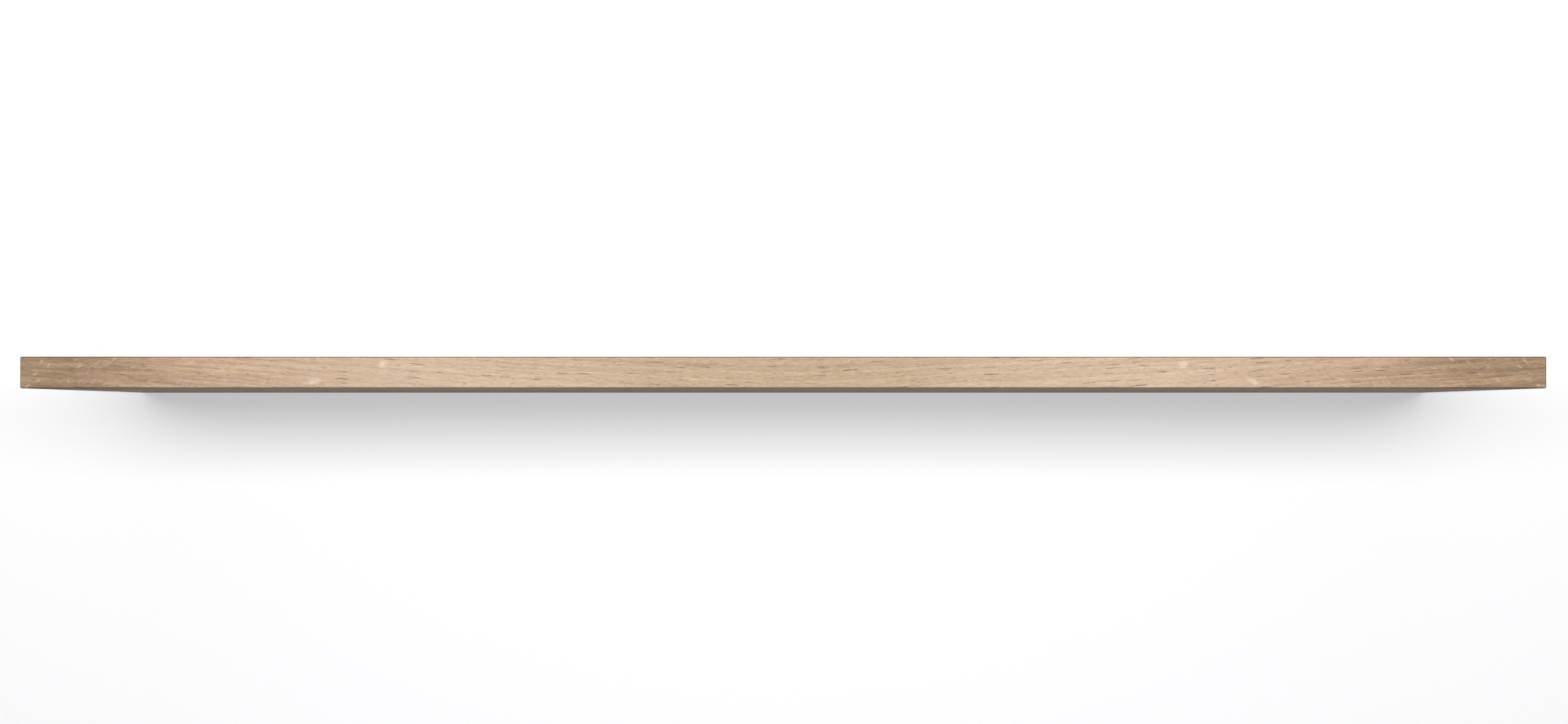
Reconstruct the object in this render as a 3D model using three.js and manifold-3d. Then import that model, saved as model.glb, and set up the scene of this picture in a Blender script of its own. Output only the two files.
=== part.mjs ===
// A floating wall shelf. A solid oak board, edge glued from staves, slides onto three hidden
// steel brackets that are screwed to the wall. Millimetres, +Z up, +X along the board. The wall
// is the plane y = 0 and the room is on its -Y side. The origin is the middle of the middle
// bracket's back face, at half the height of the board.

import * as THREE from "three";
import { RoundedBoxGeometry } from "three/addons/geometries/RoundedBoxGeometry.js";
import { mergeVertices, toCreasedNormals } from "three/addons/utils/BufferGeometryUtils.js";
import Module from "manifold-3d";

const wasm = await Module();
wasm.setup();

// Board, planed from staves that run its whole length
const boardLength = 1200;
const boardDepth = 200;
const boardThickness = 25;
const staveNames = ["front_stave", "second_stave", "middle_stave", "fourth_stave", "rear_stave"];
const glueLine = 0.1;
const arrisRadius = 1.2;
const arrisSteps = 3;

// Brackets, spread evenly along the board
const bracketNames = ["left", "middle", "right"];
const bracketEndDistance = 200;
const plateLength = 76;
const plateHeight = 16;
const plateThickness = 4;
const plateEdgeBevel = 0.4;
const rodDiameter = 12;
const rodTipCover = 60;
const rodTipChamfer = 1.5;
const weldLeg = 1.5;
const weldRipplePitch = 3;

// Countersunk wood screws, two to a plate
const screwEndDistance = 10;
const screwLength = 50;
const screwHeadDiameter = 9;
const screwHeadRim = 0.4;
const screwShankLength = 14;
const screwThreadDiameter = 4.5;
const screwThreadDepth = 0.55;
const screwTipLength = 6;
const recessArmLength = 5;
const recessArmWidth = 1.1;
const recessDepth = 2.4;
const recessFloorDiameter = 1.6;

// Nylon wall plugs, pushed a little below the face of the wall
const plugLength = 40;
const plugWall = 1.55;
const plugNoseWall = 0.55;
const plugSetback = 3;
const plugSleeveLength = 8;
const plugNoseLength = 5;
const plugBarbPitch = 4.5;
const plugBarbDepth = 0.55;
const plugSlitWidth = 1;
const plugFinWidth = 0.9;
const plugFinHeight = 0.8;
const plugFinLength = 14;

// Clearances between what is machined in the board and the brackets that it slides over
const rodSideClearance = 0.25;
const rodTipClearance = 3;
const plateEdgeClearance = 0.75;
const plateFrontClearance = 0.5;
const weldClearance = 0.8;
const drillPointAngle = THREE.MathUtils.degToRad(118);

// Clearances of the fixings
const screwHoleClearance = 0.3;
const screwHeadClearance = 0.15;
const screwHeadSink = 0.2;
const plugBoreClearance = 0.2;

// How far a cutter runs past the surface that it cuts
const overrun = 5;

const roundSides = 24;
const smallRoundSides = 12;
const rippleSides = 4;
const sharpEdge = THREE.MathUtils.degToRad(32);

const oakFinish = { color: "#cdb299", roughness: 0.62, metalness: 0 };
const steelFinish = { color: "#b9bcc0", roughness: 0.42, metalness: 1 };
const screwFinish = { color: "#cfc9a8", roughness: 0.32, metalness: 1 };
const nylonFinish = { color: "#9a9c9e", roughness: 0.55, metalness: 0 };

// A closed geometry as a solid that can be joined and cut
function solidOf(geometry) {
  const bare = geometry.clone();
  bare.deleteAttribute("normal");
  bare.deleteAttribute("uv");
  const { index, attributes } = mergeVertices(bare);
  const vertProperties = attributes.position.array;
  return new wasm.Manifold(new wasm.Mesh({ numProp: 3, vertProperties, triVerts: index.array }));
}

// A solid as a named mesh with its own material
function meshOf(name, solid, finish) {
  const { vertProperties, triVerts } = solid.getMesh();
  const geometry = new THREE.BufferGeometry();
  geometry.setAttribute("position", new THREE.BufferAttribute(vertProperties, 3));
  geometry.setIndex(new THREE.BufferAttribute(triVerts, 1));
  const mesh = new THREE.Mesh(
    toCreasedNormals(geometry, sharpEdge),
    new THREE.MeshStandardMaterial(finish),
  );
  mesh.name = name;
  return mesh;
}

// A profile of [radius, y] points turned round the Y axis, which runs square to the wall
function turned(profile, sides) {
  const points = profile.map(([radius, y]) => new THREE.Vector2(radius, y));
  return solidOf(new THREE.LatheGeometry(points, sides));
}

// A rectangular block, given its sizes and the place of its middle
function block(size, middle) {
  const geometry = new THREE.BoxGeometry(...size);
  geometry.translate(...middle);
  return solidOf(geometry);
}

// A slot outline in X and Z, its two ends round
function slotOutline(length, height) {
  const radius = height / 2;
  const reach = length / 2 - radius;
  const outline = new THREE.Shape();
  outline.absarc(reach, 0, radius, -Math.PI / 2, Math.PI / 2, false);
  outline.absarc(-reach, 0, radius, Math.PI / 2, (3 * Math.PI) / 2, false);
  return outline;
}

// An outline in X and Z as a slab that stands out from the wall plane towards the room
function slabFromWall(outline, thickness, bevel) {
  const geometry = new THREE.ExtrudeGeometry(outline, {
    depth: thickness - 2 * bevel,
    bevelEnabled: bevel > 0,
    bevelThickness: bevel,
    bevelSize: bevel,
    bevelOffset: -bevel,
    bevelSegments: 1,
    curveSegments: smallRoundSides,
  });
  geometry.translate(0, 0, bevel);
  geometry.rotateX(Math.PI / 2);
  return solidOf(geometry);
}

// Where the brackets stand along the board
const bracketSpacing = (boardLength - 2 * bracketEndDistance) / (bracketNames.length - 1);
const bracketPlaces = bracketNames.map(
  (name, index) => bracketEndDistance - boardLength / 2 + index * bracketSpacing,
);

// Where a bracket's two screws stand along its plate
const screwPlaces = [screwEndDistance - plateLength / 2, plateLength / 2 - screwEndDistance];

// The rods stop short of the board's front edge, so they grow with its depth
const rodReach = boardDepth - plateThickness - rodTipCover;
const rodRadius = rodDiameter / 2;
const headRadius = screwHeadDiameter / 2;
const threadRadius = screwThreadDiameter / 2;
const plugBoreRadius = threadRadius + plugBoreClearance;
const plugRadius = plugBoreRadius + plugWall;

// What is routed and drilled in the board's rear edge for one bracket: a round-ended pocket for
// the plate, a tapered relief for the weld, and a deep bore that ends in the drill's point
function bracketRecess() {
  const pocketDepth = plateThickness + plateFrontClearance;
  const pocket = slabFromWall(
    slotOutline(plateLength + 2 * plateEdgeClearance, plateHeight + 2 * plateEdgeClearance),
    pocketDepth + overrun,
    0,
  ).translate([0, overrun, 0]);
  const boreRadius = rodRadius + rodSideClearance;
  const boreEnd = plateThickness + rodReach + rodTipClearance;
  const pointEnd = boreEnd + boreRadius / Math.tan(drillPointAngle / 2);
  const reliefRadius = rodRadius + weldLeg + weldClearance;
  const reliefEnd = plateThickness + weldLeg + weldClearance;
  const bore = turned(
    [
      [0, -pointEnd],
      [boreRadius, -boreEnd],
      [boreRadius, -reliefEnd],
      [reliefRadius, -pocketDepth],
      [reliefRadius, overrun],
      [0, overrun],
    ],
    roundSides,
  );
  return pocket.add(bore);
}

// The board after it is glued up, planed, eased and machined, and before it is parted in staves
function machinedBoard() {
  const blank = new RoundedBoxGeometry(
    boardLength,
    boardDepth,
    boardThickness,
    arrisSteps,
    arrisRadius,
  );
  blank.translate(0, -boardDepth / 2, 0);
  const recess = bracketRecess();
  return bracketPlaces.reduce(
    (board, x) => board.subtract(recess.translate([x, 0, 0])),
    solidOf(blank),
  );
}

// The staves, cut from the finished board so that its bores and pockets run true across them
function board() {
  const group = new THREE.Group();
  const whole = machinedBoard();
  const staveWidth = boardDepth / staveNames.length;
  const long = boardLength + 2 * overrun;
  const high = boardThickness + 2 * overrun;
  staveNames.forEach((name, index) => {
    const frontGlue = index === 0 ? -overrun : glueLine / 2;
    const rearGlue = index === staveNames.length - 1 ? -overrun : glueLine / 2;
    const front = index * staveWidth - boardDepth + frontGlue;
    const rear = (index + 1) * staveWidth - boardDepth - rearGlue;
    const slice = block([long, rear - front, high], [0, (front + rear) / 2, 0]);
    group.add(meshOf(name, whole.intersect(slice), oakFinish));
  });
  return group;
}

// A wall plate with round ends, chamfered edges and two countersunk holes
function wallPlate() {
  const plate = slabFromWall(slotOutline(plateLength, plateHeight), plateThickness, plateEdgeBevel);
  const holeRadius = threadRadius + screwHoleClearance;
  const sinkRadius = headRadius + screwHeadClearance;
  const rimEnd = plateThickness - screwHeadSink - screwHeadRim;
  const hole = turned(
    [
      [0, -plateThickness - overrun],
      [sinkRadius, -plateThickness - overrun],
      [sinkRadius, -rimEnd],
      [holeRadius, sinkRadius - holeRadius - rimEnd],
      [holeRadius, overrun],
      [0, overrun],
    ],
    roundSides,
  );
  return screwPlaces.reduce((part, x) => part.subtract(hole.translate([x, 0, 0])), plate);
}

// The ring of weld at a rod's root, laid down as overlapping ripples on the plate's face
function weldBead() {
  const rippleCount = Math.round((2 * Math.PI * rodRadius) / weldRipplePitch);
  const ripple = solidOf(new THREE.SphereGeometry(weldLeg, 2 * rippleSides, rippleSides));
  const bead = Array.from({ length: rippleCount }, (unused, index) => {
    const turn = (index * 2 * Math.PI) / rippleCount;
    return ripple.translate([rodRadius * Math.cos(turn), 0, rodRadius * Math.sin(turn)]);
  }).reduce((ring, next) => ring.add(next));
  const reach = rodDiameter + 2 * weldLeg + 2 * overrun;
  const inFront = block([reach, overrun, reach], [0, -overrun / 2, 0]);
  return bead.intersect(inFront).translate([0, -plateThickness, 0]);
}

// A support rod, chamfered at its tip so that the board starts onto it easily
function supportRod() {
  const tip = plateThickness + rodReach;
  const rod = turned(
    [
      [0, -tip],
      [rodRadius - rodTipChamfer, -tip],
      [rodRadius, rodTipChamfer - tip],
      [rodRadius, -plateThickness],
      [0, -plateThickness],
    ],
    roundSides,
  );
  return rod.add(weldBead());
}

// The cross recess in a screw's head, its arms drawn in towards their floor
function driveRecess(headTop) {
  const taper = turned(
    [
      [0, headTop - overrun],
      [recessArmLength / 2, headTop - overrun],
      [recessArmLength / 2, headTop],
      [recessFloorDiameter / 2, headTop + recessDepth],
      [0, headTop + recessDepth],
    ],
    smallRoundSides,
  );
  const tall = recessDepth + 2 * overrun;
  const middle = [0, headTop + recessDepth / 2, 0];
  const flatArm = block([recessArmLength, tall, recessArmWidth], middle);
  const uprightArm = block([recessArmWidth, tall, recessArmLength], middle);
  return flatArm.add(uprightArm).intersect(taper);
}

// A countersunk screw: head with a thin rim, plain shank, thread and point
function wallScrew() {
  const headTop = screwHeadSink - plateThickness;
  const shankRadius = threadRadius - screwThreadDepth;
  const threadStart = headTop + screwShankLength;
  const tip = headTop + screwLength;
  const body = turned(
    [
      [0, headTop],
      [headRadius, headTop],
      [headRadius, headTop + screwHeadRim],
      [shankRadius, headTop + screwHeadRim + headRadius - shankRadius],
      [shankRadius, threadStart],
      [threadRadius, threadStart + screwThreadDepth],
      [threadRadius, tip - screwTipLength],
      [0, tip],
    ],
    smallRoundSides,
  );
  return body.subtract(driveRecess(headTop));
}

// A wall plug's profile, mouth to nose and back through its bore, with barbs along its outside
function plugProfile() {
  const mouth = plugSetback;
  const nose = plugSetback + plugLength;
  const barbStart = mouth + plugSleeveLength;
  const barbEnd = nose - plugNoseLength;
  const barbCount = Math.round((barbEnd - barbStart) / plugBarbPitch);
  const barbLength = (barbEnd - barbStart) / barbCount;
  const barbs = Array.from({ length: barbCount }, (unused, index) => [
    [plugRadius, barbStart + index * barbLength],
    [plugRadius - plugBarbDepth, barbStart + (index + 1) * barbLength],
  ]).flat();
  return [
    [plugBoreRadius, mouth],
    [plugRadius, mouth],
    ...barbs,
    [plugBoreRadius + plugNoseWall, nose],
    [plugBoreRadius, nose],
    [plugBoreRadius, mouth],
  ];
}

// A wall plug: a split sleeve with barbs, and two fins that stop it turning in its hole
function wallPlug() {
  const sleeve = turned(plugProfile(), smallRoundSides);
  const finFoot = (plugBoreRadius + plugRadius - plugBarbDepth) / 2;
  const finTop = plugRadius + plugFinHeight;
  const fins = [-1, 1].map((side) =>
    block(
      [plugFinWidth, plugFinLength, finTop - finFoot],
      [0, plugSetback + plugFinLength / 2, (side * (finFoot + finTop)) / 2],
    ),
  );
  const slitStart = plugSetback + plugSleeveLength;
  const slitLength = plugLength - plugSleeveLength + overrun;
  const slit = block(
    [2 * plugRadius + 2 * overrun, slitLength, plugSlitWidth],
    [0, slitStart + slitLength / 2, 0],
  );
  return sleeve.add(fins[0]).add(fins[1]).subtract(slit);
}

const plate = wallPlate();
const rod = supportRod();
const screw = wallScrew();
const plug = wallPlug();

// Everything that stays on the wall at one place: the plate, its rod, the screws and the plugs
function bracket(side) {
  const group = new THREE.Group();
  group.add(meshOf(`${side}_wall_plate`, plate, steelFinish));
  group.add(meshOf(`${side}_support_rod`, rod, steelFinish));
  screwPlaces.forEach((x, index) => {
    const fixing = new THREE.Group();
    fixing.add(meshOf(`${side}_wall_screw_${index + 1}`, screw, screwFinish));
    fixing.add(meshOf(`${side}_wall_plug_${index + 1}`, plug, nylonFinish));
    fixing.position.x = x;
    group.add(fixing);
  });
  return group;
}

const shelf = new THREE.Group();
shelf.add(board());
bracketNames.forEach((side, index) => {
  const onWall = bracket(side);
  onWall.position.x = bracketPlaces[index];
  shelf.add(onWall);
});

export default shelf;
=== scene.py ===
# A floating wall shelf. A board of solid oak, edge glued from five staves, slides onto three
# hidden steel brackets, which are screwed and plugged to a wall. Lengths are in metres, with +Z
# up and +X along the board. The wall is the plane y = 0 and the room is on its -Y side.

import math

import bmesh
import bpy
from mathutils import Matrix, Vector


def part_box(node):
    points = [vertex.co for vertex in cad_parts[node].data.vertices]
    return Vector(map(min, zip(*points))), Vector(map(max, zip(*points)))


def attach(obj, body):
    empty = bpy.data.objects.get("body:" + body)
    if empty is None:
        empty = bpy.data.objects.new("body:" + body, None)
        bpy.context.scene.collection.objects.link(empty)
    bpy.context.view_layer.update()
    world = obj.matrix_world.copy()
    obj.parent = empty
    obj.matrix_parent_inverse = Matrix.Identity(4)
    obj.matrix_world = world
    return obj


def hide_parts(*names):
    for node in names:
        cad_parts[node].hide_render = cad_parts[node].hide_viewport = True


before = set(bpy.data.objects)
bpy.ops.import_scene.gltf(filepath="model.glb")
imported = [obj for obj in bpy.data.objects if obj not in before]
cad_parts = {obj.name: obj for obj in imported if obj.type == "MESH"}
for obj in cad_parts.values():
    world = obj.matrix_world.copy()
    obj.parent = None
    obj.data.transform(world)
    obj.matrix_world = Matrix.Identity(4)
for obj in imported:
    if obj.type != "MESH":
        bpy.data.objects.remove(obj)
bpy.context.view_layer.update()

# The wall plugs. Each is moulded in one piece of grey nylon: a split sleeve with saw-tooth
# barbs, and two fins that stop it turning. It is pushed into an 8 mm hole drilled in the wall,
# and the screw spreads it.

PLUG_RADIUS = 0.004
PLUG_BORE_RADIUS = 0.00245
PLUG_NOSE_RADIUS = 0.003
PLUG_EDGE = 0.0002
PLUG_SIDES = 32
SLEEVE_LENGTH = 0.008
NOSE_LENGTH = 0.005
BARB_PITCH = 0.0045
BARB_LAND = 0.0004
BARB_DEPTH = 0.00055
SLIT_WIDTH = 0.001
FIN_WIDTH = 0.0009
FIN_LENGTH = 0.014
FIN_RAMP = 0.003
FIN_HEIGHT = 0.0008
FIN_FOOT = (PLUG_BORE_RADIUS + PLUG_RADIUS - BARB_DEPTH) / 2
FIN_TOP = PLUG_RADIUS + FIN_HEIGHT
OVERRUN = 0.002
SIDES = ("left", "middle", "right")
SHARP_ANGLE = math.radians(31)
COPY_SEED = 7

# Patterns are sized in mm, MM of them to the metre
MM = 1000
COPY_SHIFT_MM = 500
FLOW_MARK_MM = (2.5, 14, 2.5)
PALE_RADII_MM = (3.7, 4.05)
SPARK_GRAIN_MM = (0.25, 0.25, 0.25)
SPARK_DEPTH = 0.00004


def skin(sections, around=False):
    """A mesh over sections, each a loop of points or one point at a tip, its open ends closed"""
    shape = bmesh.new()
    loops = [[shape.verts.new(point) for point in section] for section in sections]
    pairs = list(zip(loops, loops[1:] + loops[:1] if around else loops[1:]))
    for near, far in pairs:
        count = max(len(near), len(far))
        for at in range(count):
            after = (at + 1) % count
            corners = [near[at % len(near)], near[after % len(near)]]
            corners += [far[after % len(far)], far[at % len(far)]]
            shape.faces.new(list(dict.fromkeys(corners)))
    if not around:
        for loop in (loops[0], loops[-1]):
            if len(loop) > 2:
                shape.faces.new(loop)
    bmesh.ops.remove_doubles(shape, verts=shape.verts, dist=1e-7)
    bmesh.ops.recalc_face_normals(shape, faces=shape.faces)
    mesh = bpy.data.meshes.new("skin")
    shape.to_mesh(mesh)
    shape.free()
    return mesh


def circle(radius, y, sides):
    """A loop of points round the Y axis, or the one point where a piece comes to a tip"""
    if not radius:
        return [(0, y, 0)]
    turns = [2 * math.pi * step / sides for step in range(sides)]
    return [(radius * math.cos(turn), y, radius * math.sin(turn)) for turn in turns]


def turned(outline, sides, around=False):
    """A piece turned round the Y axis, from an outline of radii and places along it"""
    return skin([circle(radius, y, sides) for radius, y in outline], around)


def block(low, high):
    """A square-edged block between two opposite corners"""
    (x, y, z), (right, rear, top) = low, high
    return skin([[(x, at, z), (right, at, z), (right, at, top), (x, at, top)] for at in (y, rear)])


def machined(blank, operation, tool):
    """The blank's mesh with the tool's taken from it, added to it or kept of it"""
    work, bit = (bpy.data.objects.new("work", mesh) for mesh in (blank, tool))
    for piece in (work, bit):
        bpy.context.scene.collection.objects.link(piece)
    cut = work.modifiers.new("cut", "BOOLEAN")
    cut.operation, cut.solver, cut.object = operation, "EXACT", bit
    view = bpy.context.evaluated_depsgraph_get()
    result = bpy.data.meshes.new_from_object(work.evaluated_get(view))
    for piece in (work, bit):
        bpy.data.objects.remove(piece)
    return result


def plug_fin(side, mouth):
    """One fin, ramped at its far end so that it cuts its way into the wall of the hole"""
    outline = (
        (mouth, FIN_TOP - PLUG_EDGE),
        (mouth + PLUG_EDGE, FIN_TOP),
        (mouth + FIN_LENGTH - FIN_RAMP, FIN_TOP),
        (mouth + FIN_LENGTH, PLUG_RADIUS - BARB_DEPTH),
    )
    half = FIN_WIDTH / 2
    return skin([
        [
            (-half, y, side * FIN_FOOT), (half, y, side * FIN_FOOT),
            (half, y, side * top), (-half, y, side * top),
        ]
        for y, top in outline
    ])


def wall_plug(mouth, nose):
    """A split sleeve with barbs and two fins, from its mouth to its nose"""
    outline = [
        (PLUG_BORE_RADIUS, mouth), (PLUG_RADIUS - PLUG_EDGE, mouth), (PLUG_RADIUS, mouth + PLUG_EDGE)
    ]
    first, last = mouth + SLEEVE_LENGTH, nose - NOSE_LENGTH
    for barb in range(round((last - first) / BARB_PITCH)):
        y = first + barb * BARB_PITCH
        outline += [
            (PLUG_RADIUS, y), (PLUG_RADIUS, y + BARB_LAND), (PLUG_RADIUS - BARB_DEPTH, y + BARB_PITCH)
        ]
    outline += [(PLUG_NOSE_RADIUS, nose), (PLUG_BORE_RADIUS, nose)]
    sleeve = turned(outline, PLUG_SIDES, around=True)
    for side in (-1, 1):
        sleeve = machined(sleeve, "UNION", plug_fin(side, mouth))
    reach, half = PLUG_RADIUS + OVERRUN, SLIT_WIDTH / 2
    slit = block((-reach, first, -half), (reach, nose + OVERRUN, half))
    return machined(sleeve, "DIFFERENCE", slit)


def linear(colour):
    """An sRGB hex colour as the linear red, green, blue and alpha that Blender's nodes take"""
    levels = [int(colour[place:place + 2], 16) / 255 for place in (1, 3, 5)]
    return *(v / 12.92 if v <= 0.04045 else ((v + 0.055) / 1.055) ** 2.4 for v in levels), 1


def fill(tree, node, values):
    """Sets or links a node's inputs by name or place. A node stands for its first live output."""
    live = [socket for socket in node.inputs if socket.enabled]
    for key, value in values.items():
        socket = live[key] if isinstance(key, int) else next(s for s in live if s.name == key)
        if isinstance(value, bpy.types.Node):
            value = next(output for output in value.outputs if output.enabled)
        if isinstance(value, bpy.types.NodeSocket):
            tree.links.new(value, socket)
        else:
            socket.default_value = value


def add_node(tree, kind, *inputs, **named):
    """Adds a node. Its inputs come in order or by capitalised names, its settings by the others."""
    node = tree.nodes.new(kind)
    for name, value in named.items():
        if name.islower():
            setattr(node, name, value)
    chosen = {name: value for name, value in named.items() if not name.islower()}
    fill(tree, node, dict(enumerate(inputs)) | chosen)
    return node


def geometry_tree(name, inputs):
    """An empty Geometry Nodes tree that takes a piece and its named inputs, and those inputs"""
    tree = bpy.data.node_groups.new(name, "GeometryNodeTree")
    tree.interface.new_socket("Piece", in_out="OUTPUT", socket_type="NodeSocketGeometry")
    for label, kind in {"Piece": "Geometry", **inputs}.items():
        tree.interface.new_socket(label, in_out="INPUT", socket_type=f"NodeSocket{kind}")
    return tree, add_node(tree, "NodeGroupInput").outputs


def through(tree, mesh, values):
    """The plain mesh that a Geometry Nodes tree makes of a mesh, with the tree's inputs set"""
    work = bpy.data.objects.new("work", mesh)
    bpy.context.scene.collection.objects.link(work)
    modifier = work.modifiers.new(tree.name, "NODES")
    modifier.node_group = tree
    for item in tree.interface.items_tree:
        if item.in_out == "INPUT" and item.name in values:
            modifier[item.identifier] = values[item.name]
    view = bpy.context.evaluated_depsgraph_get()
    result = bpy.data.meshes.new_from_object(work.evaluated_get(view))
    bpy.data.objects.remove(work)
    return result


def bracket_tree():
    """Sets a piece at every bracket, or at each screw of every bracket, and keeps its own place"""
    tree, given = geometry_tree("set_on_brackets", {
        "Brackets": "Int", "Bracket Spacing": "Float", "Pieces": "Int", "Piece Spacing": "Float",
        "Material": "Material",
    })
    row = None
    for count, spacing in (("Brackets", "Bracket Spacing"), ("Pieces", "Piece Spacing")):
        gaps = add_node(tree, "ShaderNodeMath", given[count], 1, operation="SUBTRACT")
        span = add_node(tree, "ShaderNodeMath", gaps, given[spacing], operation="MULTIPLY")
        first = add_node(tree, "ShaderNodeMath", span, -0.5, operation="MULTIPLY")
        start = add_node(tree, "ShaderNodeCombineXYZ", first)
        step = add_node(tree, "ShaderNodeCombineXYZ", given[spacing])
        line = add_node(tree, "GeometryNodeMeshLine", given[count], start, step)
        if row:
            line = add_node(tree, "GeometryNodeInstanceOnPoints", Points=row, Instance=line)
            line = add_node(tree, "GeometryNodeRealizeInstances", line)
        row = line
    piece = add_node(
        tree, "GeometryNodeStoreNamedAttribute", given["Piece"], Name="own_place",
        Value=add_node(tree, "GeometryNodeInputPosition"), data_type="FLOAT_VECTOR",
    )
    pieces = add_node(tree, "GeometryNodeInstanceOnPoints", Points=row, Instance=piece)
    pieces = add_node(
        tree, "GeometryNodeStoreNamedAttribute", pieces, Name="chance",
        Value=add_node(tree, "FunctionNodeRandomValue", Seed=COPY_SEED), domain="INSTANCE",
    )
    pieces = add_node(tree, "GeometryNodeRealizeInstances", pieces)
    pieces = add_node(tree, "GeometryNodeSetMaterial", pieces, Material=given["Material"])
    add_node(tree, "NodeGroupOutput", pieces)
    return tree


def on_brackets(mesh, count, material=None):
    """One mesh of a piece set once at every bracket, or at both screws of every bracket"""
    return through(set_on_brackets, mesh, {
        "Brackets": len(SIDES), "Bracket Spacing": bracket_spacing,
        "Pieces": count, "Piece Spacing": screw_spacing, "Material": material,
    })


def dressed(name, mesh, material, body, nodes):
    """A finished piece: smooth where it is round, crisp where it is cut, and told to the frame"""
    for face in mesh.polygons:
        face.use_smooth = True
    mesh.set_sharp_from_angle(angle=SHARP_ANGLE)
    piece = bpy.data.objects.new(name, mesh)
    bpy.context.scene.collection.objects.link(piece)
    piece.modifiers.new("flat_faces", "WEIGHTED_NORMAL").keep_sharp = True
    view = bpy.context.evaluated_depsgraph_get()
    piece.data = bpy.data.meshes.new_from_object(piece.evaluated_get(view))
    piece.modifiers.clear()
    piece.data.materials.clear()
    piece.data.materials.append(material)
    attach(piece, body)
    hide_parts(*nodes)


def new_material(name):
    """A named material, with its node tree and its shader"""
    material = bpy.data.materials.new(name)
    material.use_nodes = True
    return material, material.node_tree, material.node_tree.nodes["Principled BSDF"]


def own_place(tree):
    """Each point's place on its own piece, in mm, and that place shifted by chance for each copy"""
    place = add_node(tree, "ShaderNodeAttribute", attribute_name="own_place").outputs["Vector"]
    place = add_node(tree, "ShaderNodeVectorMath", place, MM, operation="SCALE")
    chance = add_node(tree, "ShaderNodeAttribute", attribute_name="chance").outputs["Fac"]
    shift = add_node(tree, "ShaderNodeMath", chance, COPY_SHIFT_MM, operation="MULTIPLY")
    return place, add_node(tree, "ShaderNodeVectorMath", place, shift, operation="ADD")


def clouds(tree, place, size, detail=2, roughness=0.5, start=(0, 0, 0)):
    """Soft patches of a size in mm, from 0 to 1"""
    stretched = add_node(tree, "ShaderNodeMapping", place, start, Scale=size, vector_type="TEXTURE")
    return add_node(
        tree, "ShaderNodeTexNoise", stretched, Scale=1, Detail=detail, Roughness=roughness
    )


def set_stops(ramp, *colours):
    """Gives a colour ramp its stops, each a share and a colour"""
    while len(ramp.color_ramp.elements) < len(colours):
        ramp.color_ramp.elements.new(0.5)
    for element, (share, colour) in zip(ramp.color_ramp.elements, colours):
        element.position, element.color = share, linear(colour)


def moulded_nylon():
    """Polyamide 6: satin and a little waxy, paler where the mould drew it thin over the barbs"""
    material, tree, shader = new_material("moulded_grey_nylon")
    place, patch = own_place(tree)
    nylon = add_node(tree, "ShaderNodeValToRGB", clouds(tree, patch, FLOW_MARK_MM, detail=3))
    set_stops(nylon, (0.3, "#8d9093"), (0.55, "#9a9c9e"), (0.75, "#a5a7a8"))
    across = add_node(tree, "ShaderNodeVectorMath", place, (1, 0, 1), operation="MULTIPLY")
    radius = add_node(tree, "ShaderNodeVectorMath", across, operation="LENGTH")
    thin = add_node(
        tree, "ShaderNodeMapRange", radius, *PALE_RADII_MM, 0, 0.45,
        interpolation_type="SMOOTHSTEP",
    )
    nylon = add_node(tree, "ShaderNodeMix", thin, nylon, linear("#b9bbbc"), data_type="RGBA")

    # The mould is spark eroded with a grain of about 0.05 mm, drawn here at 0.25 mm so that it shows
    spark = clouds(tree, patch, SPARK_GRAIN_MM, detail=1)
    fill(tree, shader, {
        "Base Color": nylon,
        "Roughness": add_node(tree, "ShaderNodeMapRange", spark, 0, 1, 0.4, 0.68),
        "Normal": add_node(
            tree, "ShaderNodeBump", Strength=0.5, Distance=SPARK_DEPTH, Height=spark
        ),
        "IOR": 1.53,
    })
    return material


bracket_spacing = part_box("right_wall_plate")[0].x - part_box("middle_wall_plate")[0].x
screw_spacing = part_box("left_wall_plug_2")[0].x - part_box("left_wall_plug_1")[0].x
set_on_brackets = bracket_tree()
mouth, nose = (corner.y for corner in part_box("left_wall_plug_1"))
nylon = moulded_nylon()
plugs = on_brackets(wall_plug(mouth, nose), 2, nylon)
plug_nodes = [f"{side}_wall_plug_{number}" for side in SIDES for number in (1, 2)]
dressed("nylon_wall_plugs", plugs, nylon, "wall_brackets", plug_nodes)

# The wall plates. Each is laser cut from 4 mm mild steel, with round ends, softened edges and two
# countersunk holes. It is zinc plated after its rod is welded on, and the screws clamp it flat to
# the wall.

PLATE_EDGE = 0.0004
HOLE_RADIUS = 0.00255
SINK_RADIUS = 0.00465
SINK_END = 0.0034
SINK_LIP = 0.0001
PLATE_SIDES = 48
WELD_RING_RADIUS = 0.0068
ZINC_CLOUD_MM = (7, 7, 7)
ROLLED_LINE_MM = (25, 0.3, 0.3)
DRAWN_LINE_MM = (0.3, 25, 0.3)
LINE_DEPTH = 0.00006
HEAT_REACH_MM = (4, 11)
HEAT_RAGGED_MM = 6
BEAD_REACH_MM = (2.2, 3.7)
BEAD_RAGGED_MM = 1.8


def slot_loop(length, height, y, sides):
    """A loop of points round a slot with round ends"""
    reach = (length - height) / 2
    half = sides // 2
    loop = []
    for side in (1, -1):
        for step in range(half + 1):
            turn = math.pi * (step / half - 0.5) + (0 if side > 0 else math.pi)
            loop.append(
                (side * reach + height / 2 * math.cos(turn), y, height / 2 * math.sin(turn))
            )
    return loop


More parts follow.
